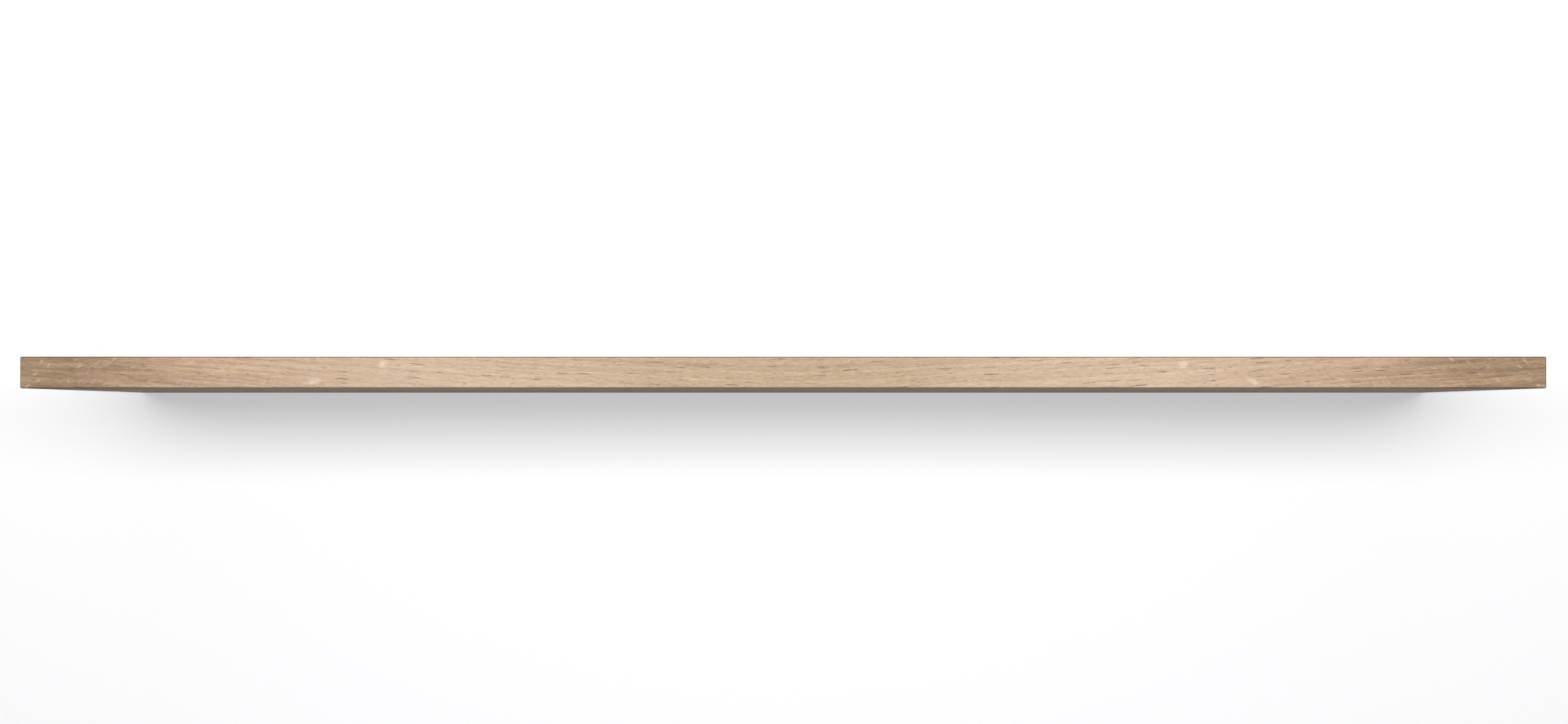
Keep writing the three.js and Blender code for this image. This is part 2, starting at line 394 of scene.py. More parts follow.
def wall_plate(length, height, thickness):
    """A plate with round ends and softened edges, and its two countersunk holes"""
    soft = PLATE_EDGE * (1 - math.sqrt(0.5))
    steps = ((0, PLATE_EDGE), (soft, soft), (PLATE_EDGE, 0))
    front = [(-thickness + depth, inset) for depth, inset in steps]
    rear = [(-depth, inset) for depth, inset in reversed(steps)]
    plate = skin([
        slot_loop(length - 2 * inset, height - 2 * inset, y, PLATE_SIDES)
        for y, inset in front + rear
    ])
    hole = turned(
        (
            (SINK_RADIUS + SINK_LIP + OVERRUN, -thickness - OVERRUN),
            (SINK_RADIUS, -thickness + SINK_LIP),
            (SINK_RADIUS, -SINK_END),
            (HOLE_RADIUS, SINK_RADIUS - HOLE_RADIUS - SINK_END),
            (HOLE_RADIUS, OVERRUN),
        ),
        PLATE_SIDES,
    )
    holes = through(set_on_brackets, hole, {
        "Brackets": 1, "Bracket Spacing": 0, "Pieces": 2, "Piece Spacing": screw_spacing
    })
    return machined(plate, "DIFFERENCE", holes)


def from_weld(tree, place):
    """How far each point is from the ring of weld, in mm"""
    axes = add_node(tree, "ShaderNodeSeparateXYZ", place).outputs
    across = add_node(tree, "ShaderNodeCombineXYZ", axes[0], axes[2])
    radius = add_node(tree, "ShaderNodeVectorMath", across, operation="LENGTH")
    beside = add_node(tree, "ShaderNodeMath", radius, MM * WELD_RING_RADIUS, operation="SUBTRACT")
    above = add_node(tree, "ShaderNodeMath", axes[1], MM * plate_thickness, operation="ADD")
    away = add_node(tree, "ShaderNodeCombineXYZ", beside, above)
    return add_node(tree, "ShaderNodeVectorMath", away, operation="LENGTH")


def zinc_plated_steel():
    """Bright zinc over mild steel: cool grey, softly clouded and lined, and dull round the weld"""
    material, tree, shader = new_material("zinc_plated_mild_steel")
    place, patch = own_place(tree)
    cloud = clouds(tree, patch, ZINC_CLOUD_MM, detail=3)
    zinc = add_node(tree, "ShaderNodeValToRGB", cloud)
    set_stops(zinc, (0.32, "#aab1bb"), (0.52, "#b9bcc0"), (0.7, "#c8c6be"))

    # Rolling lines run along a plate's faces, and drawing and cutting lines run square to the wall.
    # They are about 0.05 mm wide, drawn here at 0.3 mm so that they show.
    rolled = clouds(tree, patch, ROLLED_LINE_MM, detail=3, roughness=0.6)
    drawn = clouds(tree, patch, DRAWN_LINE_MM, detail=3, roughness=0.6)
    normal = add_node(tree, "ShaderNodeTexCoord").outputs["Normal"]
    normal = add_node(tree, "ShaderNodeVectorMath", normal, operation="ABSOLUTE")
    facing = add_node(tree, "ShaderNodeSeparateXYZ", normal).outputs["Y"]
    flat = add_node(tree, "ShaderNodeMapRange", facing, 0.6, 0.9, 0, 1)
    lines = add_node(tree, "ShaderNodeMix", flat, drawn, rolled, data_type="FLOAT")

    # The heat of welding leaves the zinc dull within 8 mm of the bead, and the bead itself is grey
    away = from_weld(tree, place)
    ragged = add_node(tree, "ShaderNodeMath", cloud, HEAT_RAGGED_MM, away, operation="MULTIPLY_ADD")
    heat = add_node(
        tree, "ShaderNodeMapRange", ragged, *HEAT_REACH_MM, 1, 0, interpolation_type="SMOOTHSTEP"
    )
    soot = add_node(tree, "ShaderNodeMath", heat, 0.6, operation="MULTIPLY")
    zinc = add_node(tree, "ShaderNodeMix", soot, zinc, linear("#8b8984"), data_type="RGBA")
    uneven = add_node(tree, "ShaderNodeMath", cloud, BEAD_RAGGED_MM, away, operation="MULTIPLY_ADD")
    bead = add_node(
        tree, "ShaderNodeMapRange", uneven, *BEAD_REACH_MM, 0.8, 0, interpolation_type="SMOOTHSTEP"
    )
    zinc = add_node(tree, "ShaderNodeMix", bead, zinc, linear("#6b6965"), data_type="RGBA")
    tone = add_node(tree, "ShaderNodeMapRange", lines, 0.2, 0.8, 0.8, 1.16)
    zinc = add_node(tree, "ShaderNodeVectorMath", zinc, tone, operation="SCALE")
    satin = add_node(tree, "ShaderNodeMapRange", lines, 0.2, 0.8, 0.24, 0.5)
    dull = add_node(tree, "ShaderNodeMath", heat, 0.22, satin, operation="MULTIPLY_ADD")
    fill(tree, shader, {
        "Base Color": zinc,
        "Roughness": add_node(tree, "ShaderNodeMath", bead, 0.15, dull, operation="MULTIPLY_ADD"),
        "Normal": add_node(
            tree, "ShaderNodeBump", Strength=0.4, Distance=LINE_DEPTH, Height=lines
        ),
        "Metallic": 1,
    })
    return material


low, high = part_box("middle_wall_plate")
plate_length, plate_thickness, plate_height = high - low
zinc = zinc_plated_steel()
plates = on_brackets(wall_plate(plate_length, plate_height, plate_thickness), 1, zinc)
plate_nodes = [f"{side}_wall_plate" for side in SIDES]
dressed("steel_wall_plates", plates, zinc, "wall_brackets", plate_nodes)

# The support rods. Each is 12 mm bright drawn bar, chamfered at its tip, with its root welded
# square to its plate by one bead that goes once round. The board slides onto the three rods and
# hangs on them.

ROD_RADIUS = 0.006
ROD_CHAMFER = 0.0015
ROD_SOFTENING = 0.0003
WELD_LEG = 0.0015
WELD_RIPPLES = 13
RIPPLE_SIDES = 8
RIPPLE_DEPTH_SHARE = 0.2
RIPPLE_LEAN_SHARE = 0.5
BEAD_ROWS = 7


def weld_loop(share, root):
    """A loop round the weld, from the rod to the plate. Its ripples lean back as the torch went."""
    lean = RIPPLE_LEAN_SHARE * math.sin(math.pi * share)
    slope = share * math.pi / 2
    sides = WELD_RIPPLES * RIPPLE_SIDES
    loop = []
    for step in range(sides):
        wave = (step / RIPPLE_SIDES + lean) % 1
        leg = WELD_LEG * (1 - RIPPLE_DEPTH_SHARE * (1 - math.sin(math.pi * wave)))
        radius = ROD_RADIUS + leg * math.sin(slope)
        turn = 2 * math.pi * step / sides
        loop.append((radius * math.cos(turn), root - leg * math.cos(slope), radius * math.sin(turn)))
    return loop


def support_rod(tip, root):
    """A rod from its chamfered tip to the weld at its root"""
    sides = WELD_RIPPLES * RIPPLE_SIDES
    outline = (
        (ROD_RADIUS - ROD_CHAMFER - ROD_SOFTENING, tip),
        (ROD_RADIUS - ROD_CHAMFER + ROD_SOFTENING / 2, tip + ROD_SOFTENING),
        (ROD_RADIUS - ROD_SOFTENING / 2, tip + ROD_CHAMFER - ROD_SOFTENING / 2),
        (ROD_RADIUS, tip + ROD_CHAMFER + ROD_SOFTENING),
    )
    loops = [circle(radius, y, sides) for radius, y in outline]
    loops += [weld_loop(row / BEAD_ROWS, root) for row in range(BEAD_ROWS + 1)]
    return skin(loops)


tip, root = (corner.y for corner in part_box("middle_support_rod"))
rods = on_brackets(support_rod(tip, root), 1, zinc)
rod_nodes = [f"{side}_support_rod" for side in SIDES]
dressed("steel_support_rods", rods, zinc, "wall_brackets", rod_nodes)

# The wall screws. Each is a 4.5 x 50 mm countersunk wood screw of hardened steel: its head and
# cross recess are struck cold, its thread is rolled, and it is zinc plated and passivated yellow.
# It is driven through the plate into its plug.

HEAD_RADIUS = 0.0045
HEAD_RIM = 0.0004
HEAD_EDGE = 0.0001
SHANK_RADIUS = 0.0017
SHANK_LENGTH = 0.014
NECK_ROUND = 0.0004
CORE_RADIUS = 0.00145
THREAD_RADIUS = 0.00225
THREAD_PITCH = 0.00225
THREAD_ROWS = 12
TIP_LENGTH = 0.006
RIDGE_SHARE = 0.2
SCREW_SIDES = 24
RECESS_SPAN = 0.005
RECESS_WIDTH = 0.0011
RECESS_DEPTH = 0.0024
RECESS_FLOOR_SPAN = 0.0016
RECESS_FLOOR_WIDTH = 0.0008
ROW_NUDGE_SHARE = 0.4
BEHIND_START_SHARE = 0.0001
TARNISH_MM = (3, 3, 3)
STRUCK_GRAIN_MM = (0.3, 0.3, 0.3)
STRUCK_DEPTH = 0.00003


def cross_loop(span, width, y):
    """A loop round a cross, its two arms as long as span from tip to tip"""
    arm, half = span / 2, width / 2
    loop = []
    for turn in range(4):
        for x, z in ((arm, -half), (arm, half), (half, half)):
            for _ in range(turn):
                x, z = -z, x
            loop.append((x, y, z))
    return loop


def screw_blank(head, tip):
    """A screw before its thread is rolled: head with its cross recess, shank, core and point"""
    thread = head + SHANK_LENGTH
    neck = head + HEAD_RIM + HEAD_RADIUS - SHANK_RADIUS
    outline = [
        (HEAD_RADIUS - HEAD_EDGE, head),
        (HEAD_RADIUS, head + HEAD_EDGE),
        (HEAD_RADIUS, head + HEAD_RIM),
        (SHANK_RADIUS + NECK_ROUND, neck - NECK_ROUND),
        (SHANK_RADIUS, neck + NECK_ROUND),
        (SHANK_RADIUS, thread - NECK_ROUND),
    ]
    for row in range(round((tip - thread) / THREAD_PITCH * THREAD_ROWS)):
        y = thread + row * THREAD_PITCH / THREAD_ROWS
        outline.append((CORE_RADIUS * min(1, (tip - y) / TIP_LENGTH), y))
    outline.append((0, tip))
    recess = skin([
        cross_loop(RECESS_SPAN, RECESS_WIDTH, head - OVERRUN),
        cross_loop(RECESS_SPAN, RECESS_WIDTH, head),
        cross_loop(RECESS_FLOOR_SPAN, RECESS_FLOOR_WIDTH, head + RECESS_DEPTH),
    ])
    return machined(turned(outline, SCREW_SIDES), "DIFFERENCE", recess)


def thread_tree():
    """Raises a helical ridge on the rows of points behind the start of the thread"""
    tree, given = geometry_tree("rolled_thread", {
        "Start": "Float", "Pitch": "Float", "Rows per Turn": "Int", "Core Radius": "Float",
        "Thread Radius": "Float", "Ridge Share": "Float", "Material": "Material",
    })
    place = add_node(tree, "GeometryNodeInputPosition")
    x, y, z = add_node(tree, "ShaderNodeSeparateXYZ", place).outputs
    turn = add_node(tree, "ShaderNodeMath", z, x, operation="ARCTAN2")
    turn = add_node(tree, "ShaderNodeMath", turn, 2 * math.pi, operation="DIVIDE")
    along = add_node(tree, "ShaderNodeMath", y, given["Start"], operation="SUBTRACT")
    along = add_node(tree, "ShaderNodeMath", along, given["Pitch"], operation="DIVIDE")

    # Points slide along to the nearest row of the helix. Those halfway between rows go the same way.
    row = add_node(tree, "ShaderNodeMath", 1, given["Rows per Turn"], operation="DIVIDE")
    raw = add_node(tree, "ShaderNodeMath", along, turn, operation="ADD")
    nudged = add_node(tree, "ShaderNodeMath", row, ROW_NUDGE_SHARE, raw, operation="MULTIPLY_ADD")
    wound = add_node(tree, "ShaderNodeMath", nudged, row, operation="SNAP")
    slide = add_node(tree, "ShaderNodeMath", wound, raw, operation="SUBTRACT")
    y = add_node(tree, "ShaderNodeMath", slide, given["Pitch"], y, operation="MULTIPLY_ADD")

    # The ridge stands halfway through each turn and grows up over the first one
    off = add_node(tree, "ShaderNodeMath", wound, operation="FRACT")
    off = add_node(tree, "ShaderNodeMath", off, 0.5, operation="SUBTRACT")
    off = add_node(tree, "ShaderNodeMath", off, operation="ABSOLUTE")
    ridge = add_node(tree, "ShaderNodeMapRange", off, 0, given["Ridge Share"], 1, 0)
    grown = add_node(tree, "ShaderNodeMapRange", along, 0, 1, 0, 1)
    ridge = add_node(tree, "ShaderNodeMath", ridge, grown, operation="MULTIPLY")
    rise = add_node(
        tree, "ShaderNodeMath", given["Thread Radius"], given["Core Radius"], operation="DIVIDE"
    )
    rise = add_node(tree, "ShaderNodeMath", rise, 1, operation="SUBTRACT")
    swell = add_node(tree, "ShaderNodeMath", ridge, rise, 1, operation="MULTIPLY_ADD")
    x, z = (add_node(tree, "ShaderNodeMath", axis, swell, operation="MULTIPLY") for axis in (x, z))
    threaded = add_node(
        tree, "GeometryNodeSetPosition", given["Piece"],
        Selection=add_node(tree, "FunctionNodeCompare", along, BEHIND_START_SHARE),
        Position=add_node(tree, "ShaderNodeCombineXYZ", x, y, z),
    )
    threaded = add_node(tree, "GeometryNodeRealizeInstances", threaded)
    threaded = add_node(tree, "GeometryNodeSetMaterial", threaded, Material=given["Material"])
    add_node(tree, "NodeGroupOutput", threaded)
    return tree


def passivated_zinc():
    """Yellow chromate over zinc: straw gold that turns faintly green and pink from place to place"""
    material, tree, shader = new_material("yellow_passivated_steel")
    patch = own_place(tree)[1]
    gold = add_node(tree, "ShaderNodeValToRGB", clouds(tree, patch, TARNISH_MM, detail=3))
    set_stops(gold, (0.3, "#b8c09a"), (0.45, "#d2cc9e"), (0.6, "#d3c4a0"), (0.75, "#cdb0a6"))

    # The dies leave a grain of about 0.05 mm, drawn here at 0.3 mm so that it shows
    struck = clouds(tree, patch, STRUCK_GRAIN_MM)
    tone = add_node(tree, "ShaderNodeMapRange", struck, 0, 1, 0.82, 1.14)
    fill(tree, shader, {
        "Base Color": add_node(tree, "ShaderNodeVectorMath", gold, tone, operation="SCALE"),
        "Roughness": add_node(tree, "ShaderNodeMapRange", struck, 0, 1, 0.2, 0.46),
        "Normal": add_node(
            tree, "ShaderNodeBump", Strength=0.3, Distance=STRUCK_DEPTH, Height=struck
        ),
        "Metallic": 1,
    })
    return material


head, point = (corner.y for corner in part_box("left_wall_screw_1"))
gold = passivated_zinc()
threaded = through(thread_tree(), screw_blank(head, point), {
    "Start": head + SHANK_LENGTH, "Pitch": THREAD_PITCH, "Rows per Turn": THREAD_ROWS,
    "Core Radius": CORE_RADIUS, "Thread Radius": THREAD_RADIUS, "Ridge Share": RIDGE_SHARE,
    "Material": gold,
})
screws = on_brackets(threaded, 2, gold)
screw_nodes = [f"{side}_wall_screw_{number}" for side in SIDES for number in (1, 2)]
dressed("steel_wall_screws", screws, gold, "wall_brackets", screw_nodes)

# The board. Five full-length staves of white oak, 40 mm wide, are glued edge to edge, planed to
# 25 mm and cut to 1200 mm. Its arrises are eased by hand, and a bore and a round-ended pocket for
# each bracket are machined in its rear edge.

GLUE_LINE = 0.0001
ARRIS_RADIUS = 0.0012
ARRIS_STEPS = 5
PLATE_EDGE_CLEARANCE = 0.00075
PLATE_FRONT_CLEARANCE = 0.0005
ROD_SIDE_CLEARANCE = 0.00025
ROD_TIP_CLEARANCE = 0.003
WELD_CLEARANCE = 0.0008
DRILL_POINT_ANGLE = math.radians(118)
BORE_SIDES = 48

# What is cut for a bracket follows its plate, its rod and its weld, with a clearance round each
pocket_length = plate_length + 2 * PLATE_EDGE_CLEARANCE
pocket_height = plate_height + 2 * PLATE_EDGE_CLEARANCE
pocket_depth = plate_thickness + PLATE_FRONT_CLEARANCE
bore_radius = ROD_RADIUS + ROD_SIDE_CLEARANCE
bore_end = ROD_TIP_CLEARANCE - tip
bore_point = bore_end + bore_radius / math.tan(DRILL_POINT_ANGLE / 2)
relief_radius = ROD_RADIUS + WELD_LEG + WELD_CLEARANCE
relief_end = plate_thickness + WELD_LEG + WELD_CLEARANCE

# The sizes of the oak's figure run along the grain and then across it. A vessel or a fleck has a
# cell of its size to itself, and its stroke is a half to two thirds as long and as wide.
SWAY_SIZE_MM = (230, 60, 60)
SWAY_MM = 8
SWAY_SHIFT_MM = 900
BEND_LENGTH_MM = 100
RING_WAVER_MM = (22, 2.5, 2.5)
WAVE_LENGTH_MM = 4
WAVER_MM = (6, 1, 1)
VESSEL_MM = (19, 1, 1)
FINE_VESSEL_MM = (5, 0.7, 0.7)
FIBRE_MM = (7, 0.7, 0.7)
PATCH_MM = (12, 5, 5)
BAND_MM = (45, 2.2, 2.2)
STREAK_MM = (130, 5, 5)
STREAK_SHIFT_MM = 30
CURL_MM = (6, 5, 5)
FLECK_MM = (9, 9, 2.6)
FLECK_RANGE_MM = (330, 520)
FLECK_LEAN = math.radians(32)
MARK_LEAN = math.radians(12)
MARK_DEPTH_MM = 10000
RAYS_PER_RADIAN = 70
RECESS_SKIN_MM = 0.15
END_MARGIN_MM = 10
GRAIN_DEPTH = 0.0002


def board_loop(x, inset):
    """The board's outline across its length at x, its four corners eased, drawn in by inset"""
    radius = ARRIS_RADIUS - inset
    middle_y, middle_z = -board_depth / 2, 0
    reach_y = board_depth / 2 - ARRIS_RADIUS
    reach_z = board_thickness / 2 - ARRIS_RADIUS
    loop = []
    for corner, (side_y, side_z) in enumerate(((1, 1), (-1, 1), (-1, -1), (1, -1))):
        for step in range(ARRIS_STEPS + 1):
            turn = math.pi / 2 * (corner + step / ARRIS_STEPS)
            y = middle_y + side_y * reach_y + radius * math.cos(turn)
            z = middle_z + side_z * reach_z + radius * math.sin(turn)
            loop.append((x, y, z))
    return loop


def board_blank():
    """The glued and planed board with every arris eased, before it is bored"""
    ends = []
    for step in range(ARRIS_STEPS + 1):
        turn = math.pi / 2 * step / ARRIS_STEPS
        x = board_length / 2 - ARRIS_RADIUS + ARRIS_RADIUS * math.sin(turn)
        ends.append((x, ARRIS_RADIUS * (1 - math.cos(turn))))
    stations = [(-x, inset) for x, inset in reversed(ends)] + ends
    return skin([board_loop(x, inset) for x, inset in stations])


def bracket_recess():
    """What is cut away for one bracket: the pocket, the relief for the weld and the deep bore"""
    pocket = skin([
        slot_loop(pocket_length, pocket_height, y, BORE_SIDES) for y in (OVERRUN, -pocket_depth)
    ])
    bore = turned(
        (
            (relief_radius, OVERRUN / 2),
            (relief_radius, -pocket_depth),
            (bore_radius, -relief_end),
            (bore_radius, -bore_end),
            (0, -bore_point),
        ),
        BORE_SIDES,
    )
    return machined(pocket, "UNION", bore)


def sawn_grain(tree, place, slope, bend, seed):
    """Places in mm shifted so that X follows the fibres, and how far each point is from the bend"""
    axes = add_node(tree, "ShaderNodeSeparateXYZ", place)
    along = add_node(tree, "ShaderNodeMath", axes, bend, operation="SUBTRACT")
    square = add_node(
        tree, "ShaderNodeMath", along, along, BEND_LENGTH_MM ** 2, operation="MULTIPLY_ADD"
    )
    bow = add_node(tree, "ShaderNodeMath", square, operation="SQRT")
    drop = add_node(tree, "ShaderNodeMath", bow, -slope, operation="MULTIPLY")
    drop = add_node(tree, "ShaderNodeCombineXYZ", Z=drop)
    sway = clouds(tree, place, SWAY_SIZE_MM, start=(seed * SWAY_SHIFT_MM, 0, 0)).outputs["Color"]
    sway = add_node(
        tree, "ShaderNodeVectorMath", sway, (0, SWAY_MM, SWAY_MM), (0, -SWAY_MM / 2, -SWAY_MM / 2),
        operation="MULTIPLY_ADD",
    )
    swayed = add_node(tree, "ShaderNodeVectorMath", place, sway, operation="ADD")
    grain = add_node(tree, "ShaderNodeVectorMath", swayed, drop, operation="ADD")
    return grain, add_node(tree, "ShaderNodeMath", along, operation="ABSOLUTE")


def growth_rings(tree, grain, outward, ring_width):
    """The earlywood of each year, strongest at the year's start, and a chance for the year"""
    radius = add_node(tree, "ShaderNodeVectorMath", outward, operation="LENGTH")
    even = add_node(tree, "ShaderNodeMath", radius, ring_width, operation="DIVIDE")

    # Good and bad years come in runs of about three, and make wide and narrow rings
    seasons = add_node(
        tree, "ShaderNodeTexNoise", W=even, Scale=0.35, Detail=1, noise_dimensions="1D"
    )
    uneven = add_node(tree, "ShaderNodeMath", seasons, 2.4, even, operation="MULTIPLY_ADD")
    ragged = clouds(tree, grain, RING_WAVER_MM, detail=3)
    rings = add_node(tree, "ShaderNodeMath", ragged, 0.6, uneven, operation="MULTIPLY_ADD")
    grown = add_node(tree, "ShaderNodeMath", rings, operation="FRACT")
    early = add_node(
        tree, "ShaderNodeMapRange", grown, 0.04, 0.5, 1, 0, interpolation_type="SMOOTHSTEP"
    )
    year = add_node(tree, "ShaderNodeMath", rings, operation="FLOOR")
    return early, add_node(tree, "ShaderNodeTexWhiteNoise", W=year, noise_dimensions="1D")


def strokes(tree, place, size, blur, open_from, channel, turn=(0, 0, 0)):
    """One stroke to a cell of a size in mm, each with a chance that has to beat open_from"""
    stretched = add_node(
        tree, "ShaderNodeMapping", place, Rotation=turn, Scale=size, vector_type="TEXTURE"
    )
    cell = add_node(tree, "ShaderNodeTexVoronoi", stretched, Scale=1)
    spot = add_node(
        tree, "ShaderNodeMapRange", cell.outputs["Distance"], *blur, 1, 0,
        interpolation_type="SMOOTHSTEP",
    )
    chances = add_node(tree, "ShaderNodeSeparateColor", cell.outputs["Color"]).outputs
    depth = add_node(tree, "ShaderNodeMapRange", chances[channel], open_from, 1, 0, 1)
    depth = add_node(tree, "ShaderNodeMath", depth, 0.5, operation="POWER")
    return add_node(tree, "ShaderNodeMath", spot, depth, operation="MULTIPLY")


def curled_halves(tree, place, away, wave):
    """Places in mm that are alike on both sides of the grain's bend, but for a small curl"""
    axes = add_node(tree, "ShaderNodeSeparateXYZ", place).outputs
    mirrored = add_node(tree, "ShaderNodeCombineXYZ", away, axes[1], axes[2])
    return add_node(tree, "ShaderNodeVectorMath", wave, CURL_MM, mirrored, operation="MULTIPLY_ADD")


def ray_flecks(tree, place, curled, away, pith, normal, turn):
    """Pale strokes that lean across the grain, on faces cut along the rays and mostly near the ends"""
    open_from = add_node(
        tree, "ShaderNodeMapRange", away, *FLECK_RANGE_MM, 0.98, 0.56,
        interpolation_type="SMOOTHSTEP",
    )
    flecks = strokes(tree, curled, FLECK_MM, (0.08, 0.42), open_from, "Blue", turn)
    outward = add_node(
        tree, "ShaderNodeVectorMath", place, (0, 1, 1), (0, -pith[0], -pith[1]),
        operation="MULTIPLY_ADD",
    )
    around = add_node(tree, "ShaderNodeVectorMath", outward, (1, 0, 0), operation="CROSS_PRODUCT")
    around = add_node(tree, "ShaderNodeVectorMath", around, operation="NORMALIZE")
    facing = add_node(tree, "ShaderNodeVectorMath", around, normal, operation="DOT_PRODUCT")
    facing = add_node(tree, "ShaderNodeMath", facing, operation="ABSOLUTE")
    cut_along = add_node(tree, "ShaderNodeMapRange", facing, 0.53, 0.8, 0, 1)
    return add_node(tree, "ShaderNodeMath", flecks, cut_along, operation="MULTIPLY")


def pale_marks(tree, curled, marks):
    """Where each pale mark lies. The curl adds half of itself on average, so its place does too."""
    masks = []
    for along, height, half_length, half_width in marks:
        near = add_node(
            tree, "ShaderNodeMapping", curled,
            (along + CURL_MM[0] / 2, 0, height + CURL_MM[2] / 2), Rotation=(0, MARK_LEAN, 0),
            Scale=(half_length, MARK_DEPTH_MM, half_width), vector_type="TEXTURE",
        )
        near = add_node(tree, "ShaderNodeVectorMath", near, operation="LENGTH")
        masks.append(add_node(
            tree, "ShaderNodeMapRange", near, 0.1, 1.1, 1, 0, interpolation_type="SMOOTHSTEP"
        ))
    return masks


def wood_shade(tree, grain, wavy, fibre, share, chance, tone, seed):
    """How light the wood is: broad streaks, wavy bands towards the ends, fibres and each year's own"""
    band = clouds(tree, wavy, BAND_MM)
    band = add_node(tree, "ShaderNodeMath", band, 0.5, operation="SUBTRACT")
    strength = add_node(tree, "ShaderNodeMapRange", share, 0.6, 0.9, 0.2, 1.2)
    shade = add_node(tree, "ShaderNodeMath", band, strength, 1, operation="MULTIPLY_ADD")
    streak = clouds(tree, grain, STREAK_MM, detail=3, start=(0, seed * STREAK_SHIFT_MM, 0))
    for pattern, dark, light in (
        (streak, 0.88, 1.12), (fibre, 0.78, 1.22), (chance, tone * 0.96, tone * 1.04)
    ):
        scaled = add_node(tree, "ShaderNodeMapRange", pattern, 0, 1, dark, light)
        shade = add_node(tree, "ShaderNodeMath", shade, scaled, operation="MULTIPLY")
    return shade


def end_grain_rays(tree, outward, end_grain):
    """On end grain the rays are pale lines that spread from the pith, about 0.8 mm apart"""
    axes = add_node(tree, "ShaderNodeSeparateXYZ", outward).outputs
    bearing = add_node(tree, "ShaderNodeMath", axes[2], axes[1], operation="ARCTAN2")
    lines = add_node(
        tree, "ShaderNodeTexNoise", W=bearing, Scale=RAYS_PER_RADIAN, Detail=1,
        noise_dimensions="1D",
    )
    lines = add_node(tree, "ShaderNodeMapRange", lines, 0.55, 0.72, 0, 1)
    return add_node(tree, "ShaderNodeMath", lines, end_grain, operation="MULTIPLY")


def inside_recess(tree, place):
    """1 on the walls of the pockets and bores, which are painted darker there as painted shade"""
    middle = (0, -MM * bore_point / 2, 0)
    reach = (
        MM * board_length / 2 - END_MARGIN_MM,
        MM * bore_point / 2 - RECESS_SKIN_MM,
        MM * pocket_height / 2 + RECESS_SKIN_MM,
    )
    near = add_node(tree, "ShaderNodeMapping", place, middle, Scale=reach, vector_type="TEXTURE")
    near = add_node(tree, "ShaderNodeVectorMath", near, operation="ABSOLUTE")
    axes = add_node(tree, "ShaderNodeSeparateXYZ", near).outputs
    furthest = add_node(tree, "ShaderNodeMath", axes[0], axes[1], operation="MAXIMUM")
    furthest = add_node(tree, "ShaderNodeMath", furthest, axes[2], operation="MAXIMUM")
    return add_node(tree, "ShaderNodeMath", furthest, 1, operation="LESS_THAN")


